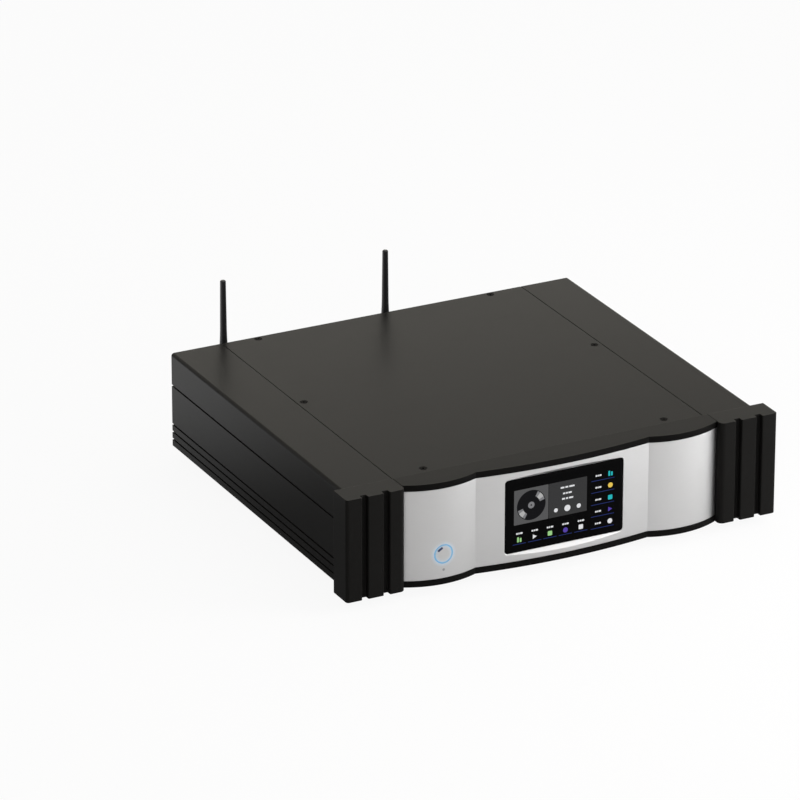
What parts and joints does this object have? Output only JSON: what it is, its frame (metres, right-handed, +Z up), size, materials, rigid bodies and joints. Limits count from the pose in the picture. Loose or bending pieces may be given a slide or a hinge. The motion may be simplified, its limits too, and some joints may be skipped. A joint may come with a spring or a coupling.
{
  "type": "network streamer",
  "caption": "Full-width network music streamer with a three-lobed silver front between finned black cheeks, a colour display, a lit power button and tilting rear antennas.",
  "frame": {"origin": "floor level under the middle of the whole object's box, antennas upright", "axes": "+X to the right seen from the front, +Y to the rear panel, +Z up from the feet"},
  "size_m": [0.43, 0.403, 0.158],
  "materials": {
    "black_anodised": "black anodised, satin",
    "satin_silver": "fine satin, clear anodised",
    "black_steel": "black powder coat, fine texture",
    "bare_aluminium": "plain milled",
    "display_glass": "gloss black cover glass",
    "dark_plastic": "moulded, half gloss",
    "matte_black_plastic": "moulded, fine grain",
    "clear_light_guide": "frosted light guide, lit light blue",
    "sensor_plastic": "dark infrared window",
    "circuit_board": "solder mask over glass fibre",
    "winding": "film-wrapped winding",
    "zinc_steel": "bright zinc",
    "black_screw": "black zinc",
    "nickel_shell": "nickel plate",
    "gold_plate": "gold plate",
    "rubber": "matt"
  },
  "bodies": {
    "chassis": {"left_cheek": "black_anodised", "right_cheek": "black_anodised", "fascia": "black_anodised", "left_side_panel": "black_anodised", "right_side_panel": "black_anodised", "top_cover": "black_anodised", "foot_cups": "black_anodised", "silver_panel": "satin_silver", "base_plate": "black_steel", "rear_panel": "black_steel", "front_subpanel": "bare_aluminium", "processor_heatsink": "bare_aluminium", "supply_heatsink": "bare_aluminium", "display_glass": "display_glass", "lcd_module": "dark_plastic", "supply_capacitors": "dark_plastic", "xlr_sockets": "dark_plastic", "phono_sockets": "dark_plastic", "optical_socket": "dark_plastic", "mains_inlet": "dark_plastic", "rocker_frame": "dark_plastic", "antenna_leads": "matte_black_plastic", "button_light_ring": "clear_light_guide", "sensor_window": "sensor_plastic", "display_board": "circuit_board", "button_board": "circuit_board", "main_board": "circuit_board", "dac_board": "circuit_board", "supply_board": "circuit_board", "transformer": "winding", "display_bracket": "zinc_steel", "board_standoffs": "zinc_steel", "transformer_dish": "zinc_steel", "transformer_bolt": "zinc_steel", "front_screws": "zinc_steel", "subpanel_screws": "zinc_steel", "board_screws": "zinc_steel", "foot_screws": "zinc_steel", "inlet_blades": "zinc_steel", "cover_screws": "black_screw", "rear_screws": "black_screw", "base_screws": "black_screw", "network_socket": "nickel_shell", "usb_sockets": "nickel_shell", "radio_module": "nickel_shell", "xlr_pins": "nickel_shell", "phono_barrels": "gold_plate", "antenna_jacks": "gold_plate", "jack_nuts": "gold_plate", "foot_pads": "rubber", "transformer_pad": "rubber"},
    "power_button": {"power_button": "satin_silver", "switch_plunger": "dark_plastic"},
    "left_antenna_base": {"left_antenna_base": "matte_black_plastic", "left_antenna_pin": "zinc_steel"},
    "left_antenna_whip": {"left_antenna_whip": "matte_black_plastic"},
    "right_antenna_base": {"right_antenna_base": "matte_black_plastic", "right_antenna_pin": "zinc_steel"},
    "right_antenna_whip": {"right_antenna_whip": "matte_black_plastic"},
    "mains_rocker": {"mains_rocker": "dark_plastic"}
  },
  "joints": [
    {"name": "power_button_press", "type": "slide", "parent": "chassis", "child": "power_button", "axis": [0, 1, 0], "range_m": [0, 0.0008], "stiffness_N_per_m": 2000},
    {"name": "left_antenna_swivel", "type": "hinge", "parent": "chassis", "child": "left_antenna_base", "pos_m": [-0.144, 0.1765, 0.074], "axis": [0, 1, 0], "range_deg": [-90, 90]},
    {"name": "left_antenna_tilt", "type": "hinge", "parent": "left_antenna_base", "child": "left_antenna_whip", "pos_m": [-0.144, 0.1965, 0.074], "axis": [-1, 0, 0], "range_deg": [0, 90]},
    {"name": "right_antenna_swivel", "type": "hinge", "parent": "chassis", "child": "right_antenna_base", "pos_m": [0.023, 0.1765, 0.074], "axis": [0, 1, 0], "range_deg": [-90, 90]},
    {"name": "right_antenna_tilt", "type": "hinge", "parent": "right_antenna_base", "child": "right_antenna_whip", "pos_m": [0.023, 0.1965, 0.074], "axis": [-1, 0, 0], "range_deg": [0, 90]},
    {"name": "mains_rocker_tip", "type": "hinge", "parent": "chassis", "child": "mains_rocker", "pos_m": [0.12325, 0.1735, 0.0415], "axis": [1, 0, 0], "range_deg": [0, 14]}
  ]
}
